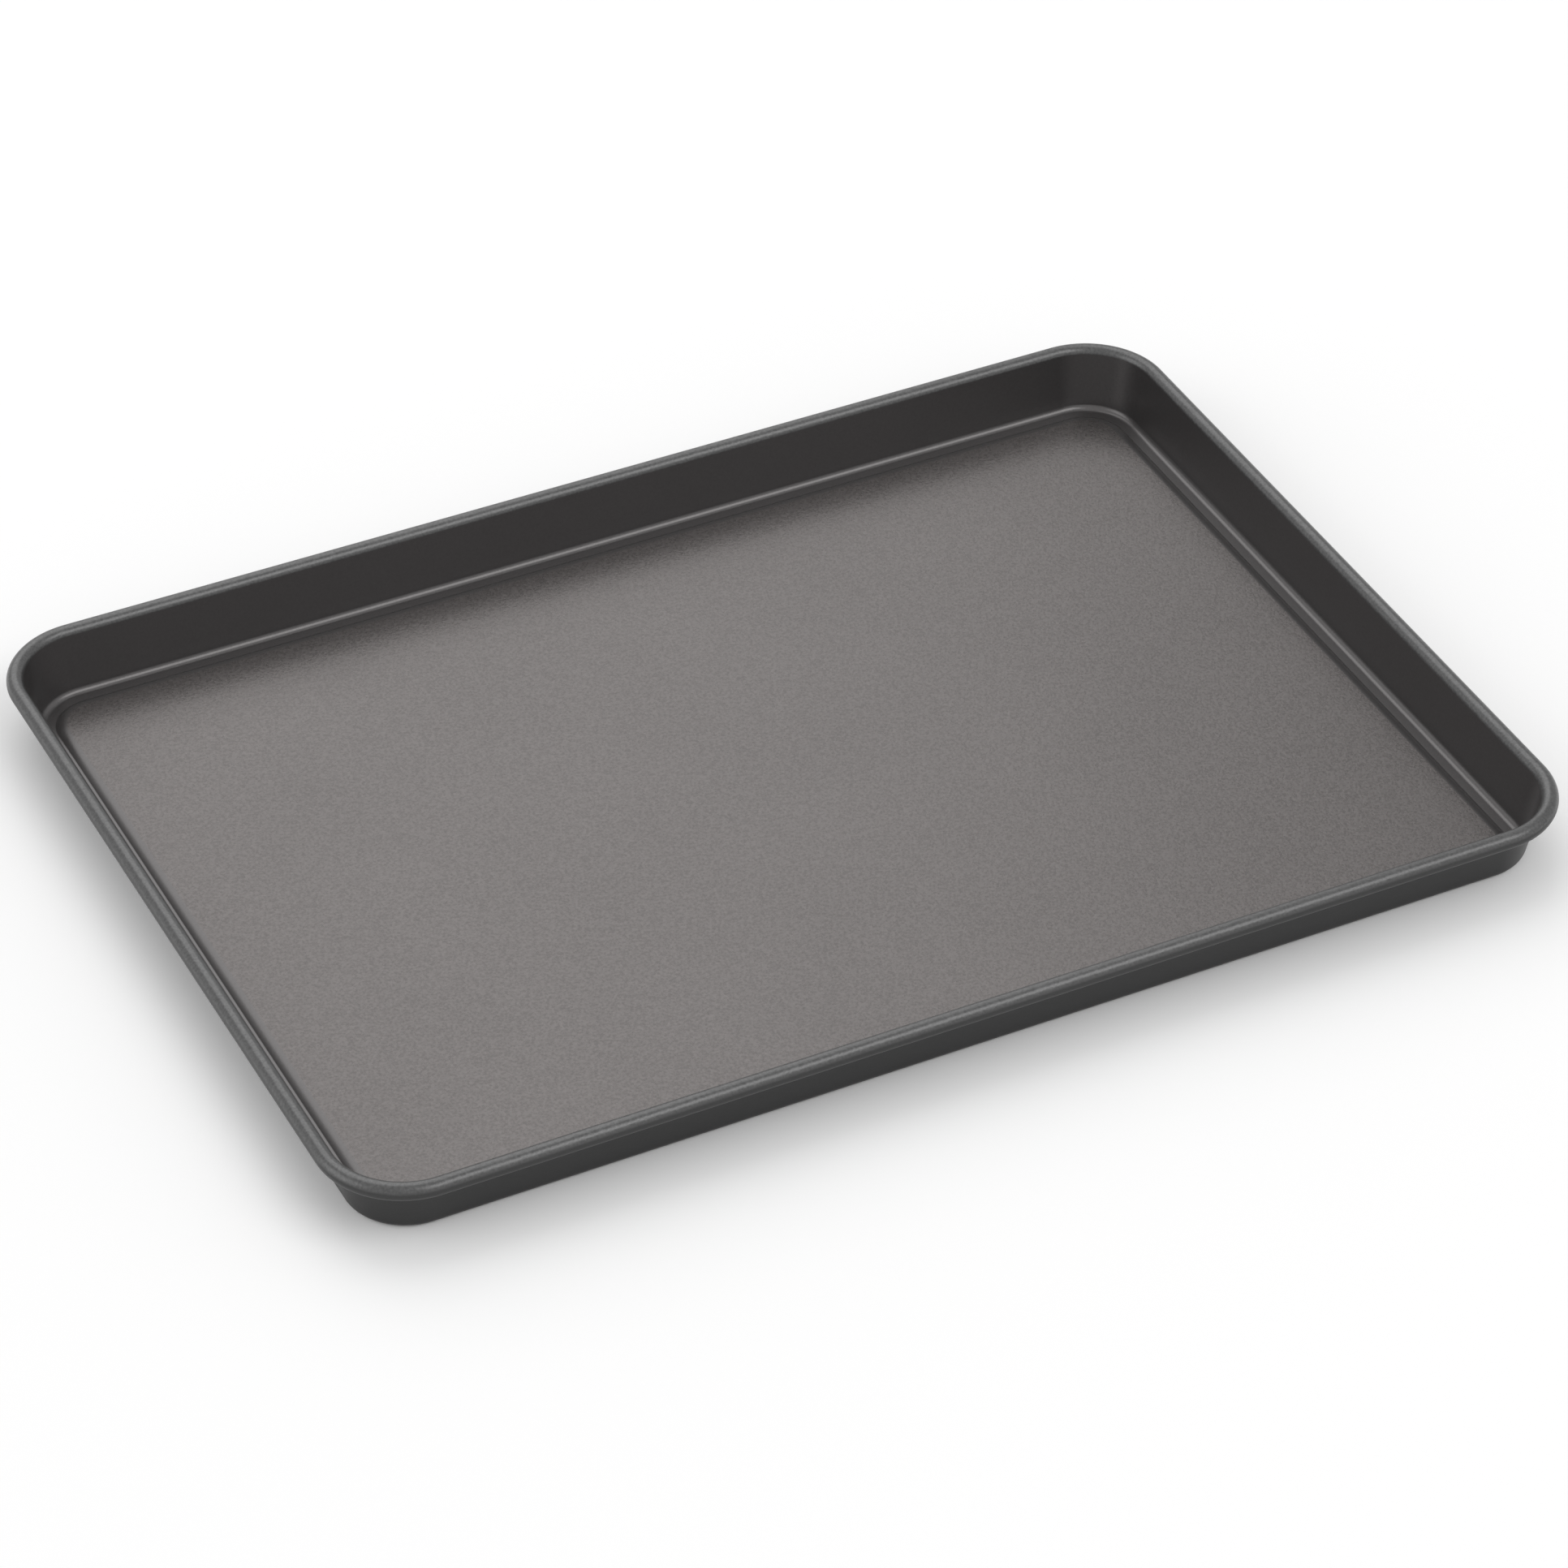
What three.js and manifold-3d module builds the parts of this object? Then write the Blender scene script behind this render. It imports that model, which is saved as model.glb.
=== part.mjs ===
// Cookie sheet: a tray pressed from one steel sheet, its rim rolled round a stiffening wire.
// Millimetres, +Z up. X runs along the long side.
// The origin is on the floor under the middle of the base.

import * as THREE from 'three';
import { mergeVertices, toCreasedNormals } from 'three/addons/utils/BufferGeometryUtils.js';
import Module from 'manifold-3d';

const { degToRad } = THREE.MathUtils;

// Overall sizes, over the rolled rim
const LENGTH = 457;
const WIDTH = 330;
const HEIGHT = 25;
const RIM_CORNER_RADIUS = 31;

// Sheet and wire stock
const SHEET = 0.8;
const WIRE_DIAMETER = 3.9;

// Wall and base; each bend radius is that of the middle of the sheet
const WALL_DRAFT = degToRad(11.5); // lean of the wall, out from upright
const FOOT_BEND_RADIUS = 2.9; // between the standing ring and the wall
const STANDING_RING = 3.0; // width of the flat ring that the tray stands on
const PANEL_RISE = 1.4; // height of the base panel above the standing ring
const PANEL_TOE_RADIUS = 1.2;
const PANEL_BROW_RADIUS = 6.5;

// Clearances in the rolled rim
const WIRE_CLEARANCE = 0.3; // all round the wire, inside the curl
const CURL_GAP = 0.3; // between the rolled edge and the wall that it closes on
const WIRE_BUTT_GAP = 1.5; // between the two ends of the wire

// Fineness of the curves
const BEND_STEP = degToRad(15);
const CORNER_STEPS = 10;
const WIRE_SIDES = 12;
const CREASE_ANGLE = degToRad(30); // edges sharper than this are shaded sharp

// Sizes that follow from those above
const CURL_INNER_RADIUS = WIRE_DIAMETER / 2 + WIRE_CLEARANCE;
const CURL_OUTER_RADIUS = CURL_INNER_RADIUS + SHEET;
const CURL_RADIUS = CURL_INNER_RADIUS + SHEET / 2;
const RIGHT_ANGLE = Math.PI / 2;
const FULL_TURN = 2 * Math.PI;

const COATED_STEEL = { color: 0x6a6665, roughness: 0.37, metalness: 0.85 };
const WIRE_STEEL = { color: 0x9a9994, roughness: 0.4, metalness: 0.9 };

// The middle of a bent sheet in section, followed outwards as straight runs and round bends.
// In the section x points out of the tray and y points up.
class SheetPath {
  constructor(height) {
    this.place = new THREE.Vector2(0, height);
    this.heading = 0;
    this.stations = [];
    this.mark();
  }

  // The direction across the sheet, towards its upper face
  across() {
    return new THREE.Vector2(-Math.sin(this.heading), Math.cos(this.heading));
  }

  mark() {
    this.stations.push({ place: this.place.clone(), across: this.across() });
  }

  run(length) {
    const along = new THREE.Vector2(Math.cos(this.heading), Math.sin(this.heading));
    this.place.addScaledVector(along, length);
    this.mark();
    return this;
  }

  // A positive angle bends the sheet up, a negative angle bends it down
  bend(radius, angle) {
    const centre = this.place.clone().addScaledVector(this.across(), Math.sign(angle) * radius);
    const steps = Math.ceil(Math.abs(angle) / BEND_STEP);
    for (let step = 0; step < steps; step += 1) {
      this.place.rotateAround(centre, angle / steps);
      this.heading += angle / steps;
      this.mark();
    }
    return this;
  }

  // The outline of the whole sheet: out along the upper face, and back along the lower face
  outline() {
    const face = (side) => this.stations.map(({ place, across }) =>
      place.clone().addScaledVector(across, (side * SHEET) / 2));
    return [...face(1), ...face(-1).reverse()];
  }
}

// The section of the tray, from the edge of the base panel to the rolled edge
function traySection() {
  const panelSlope = Math.acos(1 - PANEL_RISE / (PANEL_TOE_RADIUS + PANEL_BROW_RADIUS));
  const bendsHeight = (FOOT_BEND_RADIUS + CURL_RADIUS) * (1 - Math.sin(WALL_DRAFT));
  const wall = (HEIGHT - SHEET - bendsHeight) / Math.cos(WALL_DRAFT);
  const openAngle = Math.acos((CURL_INNER_RADIUS - CURL_GAP) / CURL_OUTER_RADIUS);
  const path = new SheetPath(PANEL_RISE + SHEET / 2)
    .bend(PANEL_BROW_RADIUS, -panelSlope)
    .bend(PANEL_TOE_RADIUS, panelSlope)
    .run(STANDING_RING)
    .bend(FOOT_BEND_RADIUS, RIGHT_ANGLE - WALL_DRAFT)
    .run(wall);
  const curlCentre = path.place.clone().addScaledVector(path.across(), -CURL_RADIUS);
  path.bend(CURL_RADIUS, openAngle - FULL_TURN);
  return { outline: path.outline(), curlCentre };
}

// A rounded rectangle at the height of one point of a section. The point's x is its distance
// outside the rim line, so the corners of all the loops share their centres.
function planLoop({ x, y }) {
  const radius = RIM_CORNER_RADIUS + x;
  const centreX = LENGTH / 2 - RIM_CORNER_RADIUS;
  const centreY = WIDTH / 2 - RIM_CORNER_RADIUS;
  const corners = [[1, 1], [-1, 1], [-1, -1], [1, -1]];
  return corners.flatMap(([sideX, sideY], quarter) =>
    Array.from({ length: CORNER_STEPS + 1 }, (_, step) => {
      const angle = (quarter + step / CORNER_STEPS) * RIGHT_ANGLE;
      return new THREE.Vector3(
        sideX * centreX + radius * Math.cos(angle),
        sideY * centreY + radius * Math.sin(angle),
        y,
      );
    }));
}

// The skin that joins the plan loops of a section, each to the next. A section given clockwise has its
// faces outwards. An open section is closed by two flat faces; a closed one makes a ring.
function sweepRound(section, closed) {
  const loops = section.map(planLoop);
  const count = loops[0].length;
  const points = loops.flat();
  const triangles = [];
  const lastLoop = closed ? loops.length : loops.length - 1;
  for (let loop = 0; loop < lastLoop; loop += 1) {
    const near = loop * count;
    const far = ((loop + 1) % loops.length) * count;
    for (let step = 0; step < count; step += 1) {
      const next = (step + 1) % count;
      triangles.push(near + step, far + step, far + next);
      triangles.push(near + step, far + next, near + next);
    }
  }
  if (!closed) {
    const lastStart = (loops.length - 1) * count;
    const firstMiddle = points.push(new THREE.Vector3(0, 0, section[0].y)) - 1;
    const lastMiddle = points.push(new THREE.Vector3(0, 0, section.at(-1).y)) - 1;
    for (let step = 0; step < count; step += 1) {
      const next = (step + 1) % count;
      triangles.push(firstMiddle, step, next);
      triangles.push(lastMiddle, lastStart + next, lastStart + step);
    }
  }
  const geometry = new THREE.BufferGeometry().setFromPoints(points);
  geometry.setIndex(triangles);
  return geometry;
}

// The solid with another solid cut out of it
async function cut(geometry, tool) {
  const wasm = await Module();
  wasm.setup();
  const toSolid = (source) => {
    const bare = source.clone();
    bare.deleteAttribute('normal');
    bare.deleteAttribute('uv');
    const merged = mergeVertices(bare);
    return new wasm.Manifold(new wasm.Mesh({
      numProp: 3,
      vertProperties: new Float32Array(merged.attributes.position.array),
      triVerts: new Uint32Array(merged.index.array),
    }));
  };
  const mesh = toSolid(geometry).subtract(toSolid(tool)).getMesh();
  const result = new THREE.BufferGeometry();
  result.setAttribute('position', new THREE.BufferAttribute(mesh.vertProperties, mesh.numProp));
  result.setIndex(new THREE.BufferAttribute(mesh.triVerts, 1));
  return result;
}

function makePart(name, geometry, finish) {
  const shaded = toCreasedNormals(geometry, CREASE_ANGLE);
  const mesh = new THREE.Mesh(shaded, new THREE.MeshStandardMaterial(finish));
  mesh.name = name;
  return mesh;
}

const { outline, curlCentre } = traySection();
const reach = curlCentre.x + CURL_OUTER_RADIUS;
const rimLine = new THREE.Vector2(reach, 0);

// Pan body: the whole pressed sheet, with the outside of the rim on the rim line
const traySkin = outline.map((point) => point.sub(rimLine));
const panBody = makePart('pan_body', sweepRound(traySkin, false), COATED_STEEL);

// Rim wire: a ring in the middle of the curl, with its ends butted at the middle of the back side
const wireCentre = curlCentre.clone().sub(rimLine);
const wireSection = Array.from({ length: WIRE_SIDES }, (_, side) => {
  const angle = -(side / WIRE_SIDES) * FULL_TURN;
  return new THREE.Vector2(WIRE_DIAMETER / 2, 0).rotateAround(new THREE.Vector2(), angle).add(wireCentre);
});
const buttCut = new THREE.BoxGeometry(WIRE_BUTT_GAP, 2 * WIRE_DIAMETER, 2 * WIRE_DIAMETER);
buttCut.translate(0, WIDTH / 2 + wireCentre.x, wireCentre.y);
const rimWire = makePart('rim_wire', await cut(sweepRound(wireSection, true), buttCut), WIRE_STEEL);

const cookieSheet = new THREE.Group();
cookieSheet.name = 'cookie_sheet';
cookieSheet.add(panBody, rimWire);

export default cookieSheet;
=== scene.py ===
import math

import bpy
from mathutils import Matrix, Vector


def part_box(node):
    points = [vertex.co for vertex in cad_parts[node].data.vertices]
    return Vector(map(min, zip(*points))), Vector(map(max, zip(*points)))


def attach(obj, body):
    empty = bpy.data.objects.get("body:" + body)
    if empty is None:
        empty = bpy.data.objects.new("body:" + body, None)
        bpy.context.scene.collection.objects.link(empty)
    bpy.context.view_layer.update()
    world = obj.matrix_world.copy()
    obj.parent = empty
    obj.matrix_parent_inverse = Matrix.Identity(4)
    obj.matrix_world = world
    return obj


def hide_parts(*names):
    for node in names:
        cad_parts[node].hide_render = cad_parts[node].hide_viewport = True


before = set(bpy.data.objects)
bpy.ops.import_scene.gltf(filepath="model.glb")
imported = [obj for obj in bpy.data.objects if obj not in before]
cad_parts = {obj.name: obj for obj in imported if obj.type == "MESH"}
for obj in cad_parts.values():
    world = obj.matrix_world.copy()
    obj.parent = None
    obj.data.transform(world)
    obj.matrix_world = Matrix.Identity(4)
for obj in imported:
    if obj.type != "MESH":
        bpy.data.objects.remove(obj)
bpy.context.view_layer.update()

# Cookie sheet: a tray pressed from one steel sheet, its rim rolled round a wire; metres, +Z up
MM = 0.001
RIGHT_ANGLE = math.pi / 2
FULL_TURN = 2 * math.pi
CORNER_SIDES = ((1, 1), (-1, 1), (-1, -1), (1, -1))
WHITE = (1, 1, 1, 1)

# Tray: its overall sizes come from the solid in model.glb that it replaces, and the others repeat those of
# that solid
tray_low, tray_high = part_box("pan_body")
LENGTH = tray_high.x - tray_low.x
WIDTH = tray_high.y - tray_low.y
HEIGHT = tray_high.z - tray_low.z
RIM_CORNER_RADIUS = 31 * MM
SHEET = 0.8 * MM
WIRE_DIAMETER = 3.9 * MM
WALL_DRAFT = math.radians(11.5)
FOOT_BEND_RADIUS = 2.9 * MM
STANDING_RING = 3.0 * MM
PANEL_RISE = 1.4 * MM
PANEL_TOE_RADIUS = 1.2 * MM
PANEL_BROW_RADIUS = 6.5 * MM
WIRE_CLEARANCE = 0.3 * MM
CURL_GAP = 0.3 * MM
CURL_INNER_RADIUS = WIRE_DIAMETER / 2 + WIRE_CLEARANCE
CURL_OUTER_RADIUS = CURL_INNER_RADIUS + SHEET
CURL_RADIUS = CURL_INNER_RADIUS + SHEET / 2

# Fineness of the curves
BEND_STEP = math.radians(5)
CORNER_STEPS = 36

# Non-stick finish, zone by zone from the outside over the rim, the wall and its foot to the base panel;
# the colours of the outside and the wall carry painted shade
ZONES = ("outside", "rim", "wall", "foot", "panel")
COATING_COLOUR_AND_PAINTED_SHADE = {
    # painted shade: the outside, that is the outer wall and the underside, is made much darker than the
    # rim and the base
    "outside": (0.051, 0.051, 0.051),
    "rim": (0.125, 0.125, 0.125),
    # painted shade: the inner wall is made darker than its foot and the base panel
    "wall": (0.1125, 0.107, 0.107),
    "foot": (0.140, 0.1345, 0.134),
    "panel": (0.143, 0.1325, 0.13),
}
COATING_ROUGHNESS = {"outside": 0.37, "rim": 0.32, "wall": 0.28, "foot": 0.28, "panel": 0.28}
COATING_GRAIN = {"outside": 0.25, "rim": 1.0, "wall": 0.25, "foot": 0.25, "panel": 1.0}
COATING_METALLIC = 0.7
RIM_PAINTED_SHADE_FADE = (0.2, 0.5)  # how far the rim's outer face looks up where its colour turns from the outside's painted shade to the rim's
GRAIN_SIZE = 0.9 * MM
GRAIN_HEIGHT = 0.01 * MM
GRAIN_SHADE = 0.175
GRAIN_ROUGHNESS = 0.02
CLOUD_SIZE = 60 * MM
CLOUD_SHADES = (0.98, 1.02)

# Wire steel
WIRE_DARK = (0.30, 0.295, 0.285)
WIRE_LIGHT = (0.42, 0.415, 0.40)
WIRE_METALLIC = 1.0
WIRE_ROUGHNESS = (0.32, 0.48)
WIRE_GRAIN_SIZE = 0.4 * MM
WIRE_GRAIN_HEIGHT = 0.01 * MM

# Soft noise in the finishes: its layers, and the range that most of it lies in
NOISE_DETAIL = 2.0
NOISE_RANGE = (0.3, 0.7)

# Studio: directions in degrees, and sizes in metres
FLOOR_SIDE = 40.0
FLOOR_COLOUR = (0.95, 0.95, 0.95, 1)
FLOOR_ROUGHNESS = 1.0
FLOOR_SHEEN = 0.0
FLOOR_GLOW = (0.06, 0.4)  # near the tray, and far from it
FLOOR_GLOW_REACH = (1.2, 3.0)  # distances from the tray's middle between which the glow grows
SURROUND_LEVEL = 0.66
LAMP_DISTANCE = 3.4
LAMPS = {
    "back_light": {"azimuth": 8, "elevation": 48, "width": 2.6, "height": 3.5, "brightness": 0.97},
    "left_light": {"azimuth": 282, "elevation": 26, "width": 2.8, "height": 2.2, "brightness": 0.85},
    "front_light": {"azimuth": 150, "elevation": 52, "width": 2.5, "height": 1.7, "brightness": 1.7},
}

# Camera: a long lens that looks down on the tray from the front left, with its directions in degrees
CAMERA_DISTANCE = 2.0892
CAMERA_AIM = Vector((-3.85, -15.78, 12.5)) * MM
CAMERA_AZIMUTH = 26.725
CAMERA_FALL = 38.09
CAMERA_ROLL = 0.33
CAMERA_LENS = 139.57  # millimetres, like the sensor
CAMERA_SENSOR = 36.0


class SheetPath:
    """The middle of a bent sheet in section, followed outwards: x points out of the tray, y up."""

    def __init__(self, height):
        self.place = Vector((0, height))
        self.heading = 0
        self.stations = []
        self.mark()

    def across(self):
        """The direction across the sheet, towards its upper face."""
        return Vector((-math.sin(self.heading), math.cos(self.heading)))

    def mark(self):
        self.stations.append((self.place.copy(), self.across()))

    def run(self, length):
        self.place += length * Vector((math.cos(self.heading), math.sin(self.heading)))
        self.mark()

    def bend(self, radius, angle):
        """A round bend: up for a positive angle, down for a negative one."""
        centre = self.place + math.copysign(radius, angle) * self.across()
        steps = math.ceil(abs(angle) / BEND_STEP)
        turn = Matrix.Rotation(angle / steps, 2)
        for _ in range(steps):
            self.place = centre + turn @ (self.place - centre)
            self.heading += angle / steps
            self.mark()

    def skin(self):
        """Points of the whole sheet with their outward directions: out on top, back below."""
        top = [(place + across * SHEET / 2, across) for place, across in self.stations]
        bottom = [(place - across * SHEET / 2, -across) for place, across in self.stations]
        return top + bottom[::-1]


def zone_place(zone):
    """The place of a zone on the way from the outside (0) to the base panel (1)."""
    return ZONES.index(zone) / (len(ZONES) - 1)


def rim_place_with_painted_shade(outward):
    """The place of the rolled rim, which fades into the outside on the rim's outer side as that side faces
    down: a painted shade.
    """
    if outward.x < 0:
        return zone_place("rim")
    low, high = RIM_PAINTED_SHADE_FADE
    return zone_place("rim") * min(1, max(0, (outward.y - low) / (high - low)))


def tray_section():
    """The section of the tray: each point with its outward direction and its zone.

    The outside of the rim is at x = 0.
    """
    panel_slope = math.acos(1 - PANEL_RISE / (PANEL_TOE_RADIUS + PANEL_BROW_RADIUS))
    bends_height = (FOOT_BEND_RADIUS + CURL_RADIUS) * (1 - math.sin(WALL_DRAFT))
    wall = (HEIGHT - SHEET - bends_height) / math.cos(WALL_DRAFT)
    open_angle = math.acos((CURL_INNER_RADIUS - CURL_GAP) / CURL_OUTER_RADIUS)
    path = SheetPath(PANEL_RISE + SHEET / 2)
    panel_end = len(path.stations)
    path.bend(PANEL_BROW_RADIUS, -panel_slope)
    path.bend(PANEL_TOE_RADIUS, panel_slope)
    path.run(STANDING_RING)
    path.bend(FOOT_BEND_RADIUS, RIGHT_ANGLE - WALL_DRAFT)
    foot_end = len(path.stations) - 1  # the last station of this bend begins the wall
    path.run(wall)
    wall_end = len(path.stations)
    path.bend(CURL_RADIUS, open_angle - FULL_TURN)
    rim_end = len(path.stations)
    skin = path.skin()
    rim_line = Vector((max(point.x for point, _ in skin), 0))
    section = []
    for index, (point, outward) in enumerate(skin):
        zone = zone_place("outside")
        if index < panel_end:
            zone = zone_place("panel")
        elif index < foot_end:
            zone = zone_place("foot")
        elif index < wall_end:
            zone = zone_place("wall")
        elif index < rim_end:
            # painted shade: the rim's outer face takes the outside's darker colour the more it faces down
            zone = rim_place_with_painted_shade(outward)
        section.append((point - rim_line, outward, zone))
    return section


def plan_loop(point, outward):
    """One point of the section carried round the tray, with the outward direction at each place."""
    radius = RIM_CORNER_RADIUS + point.x
    centre_x = LENGTH / 2 - RIM_CORNER_RADIUS
    centre_y = WIDTH / 2 - RIM_CORNER_RADIUS
    loop = []
    for quarter, (side_x, side_y) in enumerate(CORNER_SIDES):
        centre = Vector((side_x * centre_x, side_y * centre_y, point.y))
        for step in range(CORNER_STEPS + 1):
            angle = (quarter + step / CORNER_STEPS) * RIGHT_ANGLE
            aside = Vector((math.cos(angle), math.sin(angle), 0))
            loop.append((centre + radius * aside, outward.x * aside + Vector((0, 0, outward.y))))
    return loop


def build_tray():
    section = tray_section()
    loops = [plan_loop(point, outward) for point, outward, _ in section]
    count = len(loops[0])
    last = len(loops) - 1
    faces = []
    for near in range(last):
        for step in range(count):
            following = (step + 1) % count
            near_edge = (near * count + following, near * count + step)
            far_edge = ((near + 1) * count + step, (near + 1) * count + following)
            faces.append(near_edge + far_edge)
    faces.append(tuple(range(count)))
    faces.append(tuple(last * count + step for step in reversed(range(count))))
    mesh = bpy.data.meshes.new("tray")
    mesh.from_pydata([place for loop in loops for place, _ in loop], [], faces)
    mesh.shade_smooth()
    mesh.normals_split_custom_set_from_vertices([outward for loop in loops for _, outward in loop])
    zones = mesh.attributes.new("zone", "FLOAT", "POINT")
    zones.data.foreach_set("value", [zone for _, _, zone in section for _ in range(count)])
    return add_object("tray", mesh)


def add_object(name, data):
    added = bpy.data.objects.new(name, data)
    bpy.context.scene.collection.objects.link(added)
    return added


class NodeMaterial:
    """A material with short ways to add and join its nodes."""

    def __init__(self, name):
        self.material = bpy.data.materials.new(name)
        self.material.use_nodes = True
        self.tree = self.material.node_tree
        self.shader = self.tree.nodes["Principled BSDF"]

    def add(self, kind, links, values=None, **settings):
        node = self.tree.nodes.new(kind)
        for setting, value in settings.items():
            setattr(node, setting, value)
        for socket, value in (values or {}).items():
            node.inputs[socket].default_value = value
        for socket, source in links.items():
            self.tree.links.new(source, node.inputs[socket])
        return node

    def feed(self, socket, source):
        self.tree.links.new(source, self.shader.inputs[socket])

    def fix(self, socket, value):
        self.shader.inputs[socket].default_value = value

    def places(self):
        return self.add("ShaderNodeTexCoord", {}).outputs["Object"]

    def stretched(self, value, given, wanted):
        """A value's given range stretched to the wanted one, and held at its ends."""
        ends = {"From Min": given[0], "From Max": given[1], "To Min": wanted[0], "To Max": wanted[1]}
        return self.add("ShaderNodeMapRange", {"Value": value}, ends).outputs["Result"]

    def noise(self, size, low, high):
        """Soft noise from low to high, with features of about the given size."""
        settings = {"Scale": 1 / size, "Detail": NOISE_DETAIL}
        noise = self.add("ShaderNodeTexNoise", {"Vector": self.places()}, settings).outputs["Fac"]
        return self.stretched(noise, NOISE_RANGE, (low, high))

    def ramp(self, share, *colours):
        """Colours evenly spaced along a share from 0 to 1."""
        node = self.add("ShaderNodeValToRGB", {"Fac": share})
        stops = node.color_ramp.elements
        while len(stops) < len(colours):
            stops.new(1)
        for index, (stop, colour) in enumerate(zip(stops, colours)):
            stop.position = index / (len(colours) - 1)
            stop.color = (*colour, 1)
        return node.outputs["Color"]

    def levels(self, share, *levels):
        """Plain numbers evenly spaced along a share from 0 to 1."""
        return self.ramp(share, *((level, level, level) for level in levels))

    def shaded(self, colour, factor):
        return self.add("ShaderNodeVectorMath", {0: colour, "Scale": factor}, operation="SCALE").outputs[0]

    def total(self, first, second):
        return self.add("ShaderNodeMath", {0: first, 1: second}).outputs[0]

    def product(self, first, second):
        return self.add("ShaderNodeMath", {0: first, 1: second}, operation="MULTIPLY").outputs[0]

    def scaled(self, value, factor):
        return self.add("ShaderNodeMath", {0: value}, {1: factor}, operation="MULTIPLY").outputs[0]

    def bump(self, relief, height):
        return self.add("ShaderNodeBump", {"Height": relief}, {"Distance": height}).outputs["Normal"]


def coating_material():
    """Dark satin non-stick finish: pebbled on the base panel and the rim, smoother elsewhere; painted
    shade darkens the outside, the rim's downward face and the inner wall.
    """
    made = NodeMaterial("coating")
    zone = made.add("ShaderNodeAttribute", {}, attribute_name="zone").outputs["Fac"]
    # The colours by zone carry painted shade on the outside, the rim's downward face and the inner wall
    colour = made.ramp(zone, *(COATING_COLOUR_AND_PAINTED_SHADE[name] for name in ZONES))
    roughness = made.levels(zone, *(COATING_ROUGHNESS[name] for name in ZONES))
    strength = made.levels(zone, *(COATING_GRAIN[name] for name in ZONES))
    grain = made.product(made.noise(GRAIN_SIZE, -1, 1), strength)
    cloud = made.noise(CLOUD_SIZE, *CLOUD_SHADES)
    shade = made.total(cloud, made.scaled(grain, GRAIN_SHADE))
    made.feed("Base Color", made.shaded(colour, shade))
    made.feed("Roughness", made.total(roughness, made.scaled(grain, GRAIN_ROUGHNESS)))
    made.feed("Normal", made.bump(grain, GRAIN_HEIGHT))
    made.fix("Metallic", COATING_METALLIC)
    return made.material


def wire_material():
    """Drawn bare steel wire."""
    made = NodeMaterial("drawn_steel")
    grain = made.noise(WIRE_GRAIN_SIZE, 0, 1)
    made.feed("Base Color", made.ramp(grain, WIRE_DARK, WIRE_LIGHT))
    made.feed("Roughness", made.noise(WIRE_GRAIN_SIZE, *WIRE_ROUGHNESS))
    made.feed("Normal", made.bump(grain, WIRE_GRAIN_HEIGHT))
    made.fix("Metallic", WIRE_METALLIC)
    return made.material


def floor_material():
    """Matt white, with a glow towards the lens and glossy surfaces only: more where the lamps end."""
    made = NodeMaterial("floor_white")
    made.fix("Base Color", FLOOR_COLOUR)
    made.fix("Roughness", FLOOR_ROUGHNESS)
    made.fix("Specular IOR Level", FLOOR_SHEEN)
    made.fix("Emission Color", WHITE)
    rays = made.add("ShaderNodeLightPath", {}).outputs
    seen = made.total(rays["Is Camera Ray"], rays["Is Glossy Ray"])
    seen = made.total(seen, rays["Is Transmission Ray"])
    distance = made.add("ShaderNodeVectorMath", {0: made.places()}, operation="LENGTH").outputs["Value"]
    glow = made.stretched(distance, FLOOR_GLOW_REACH, FLOOR_GLOW)
    made.feed("Emission Strength", made.product(seen, glow))
    return made.material


def paint(piece, material):
    piece.data.materials.clear()
    piece.data.materials.append(material)


def build_floor():
    half = FLOOR_SIDE / 2
    corners = [(side_x * half, side_y * half, 0) for side_x, side_y in CORNER_SIDES]
    mesh = bpy.data.meshes.new("floor")
    mesh.from_pydata(corners, [], [tuple(range(len(corners)))])
    return add_object("floor", mesh)


def towards(azimuth, elevation):
    """The direction that many degrees from +Y towards +X, and that many above the floor."""
    turn = math.radians(azimuth)
    rise = math.radians(elevation)
    return Vector((math.sin(turn) * math.cos(rise), math.cos(turn) * math.cos(rise), math.sin(rise)))


def add_lamp(name, azimuth, elevation, width, height, brightness):
    """A soft box that faces the tray. Its brightness is by area, so a larger box gives more light."""
    light = bpy.data.lights.new(name, "AREA")
    light.shape = "RECTANGLE"
    light.size = width
    light.size_y = height
    light.energy = brightness * math.pi * width * height
    direction = towards(azimuth, elevation)
    lamp = add_object(name, light)
    lamp.location = LAMP_DISTANCE * direction
    lamp.rotation_euler = (-direction).to_track_quat("-Z", "Y").to_euler()


def light_scene():
    for name, settings in LAMPS.items():
        add_lamp(name, **settings)
    world = bpy.data.worlds.new("surround")
    world.use_nodes = True
    background = world.node_tree.nodes["Background"]
    background.inputs["Color"].default_value = WHITE
    background.inputs["Strength"].default_value = SURROUND_LEVEL
    bpy.context.scene.world = world


def add_camera():
    data = bpy.data.cameras.new("camera")
    data.sensor_fit = "HORIZONTAL"
    data.sensor_width = CAMERA_SENSOR
    data.lens = CAMERA_LENS
    forward = towards(CAMERA_AZIMUTH, -CAMERA_FALL)
    level = forward.to_track_quat("-Z", "Y").to_matrix()
    turned = level @ Matrix.Rotation(math.radians(CAMERA_ROLL), 3, "Z")
    camera = add_object("camera", data)
    camera.matrix_world = Matrix.Translation(CAMERA_AIM - CAMERA_DISTANCE * forward) @ turned.to_4x4()
    bpy.context.scene.camera = camera


tray = build_tray()
paint(tray, coating_material())
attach(tray, "root")
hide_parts("pan_body")

paint(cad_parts["rim_wire"], wire_material())

floor = build_floor()
paint(floor, floor_material())

light_scene()
add_camera()
bpy.context.scene.view_settings.view_transform = "Standard"
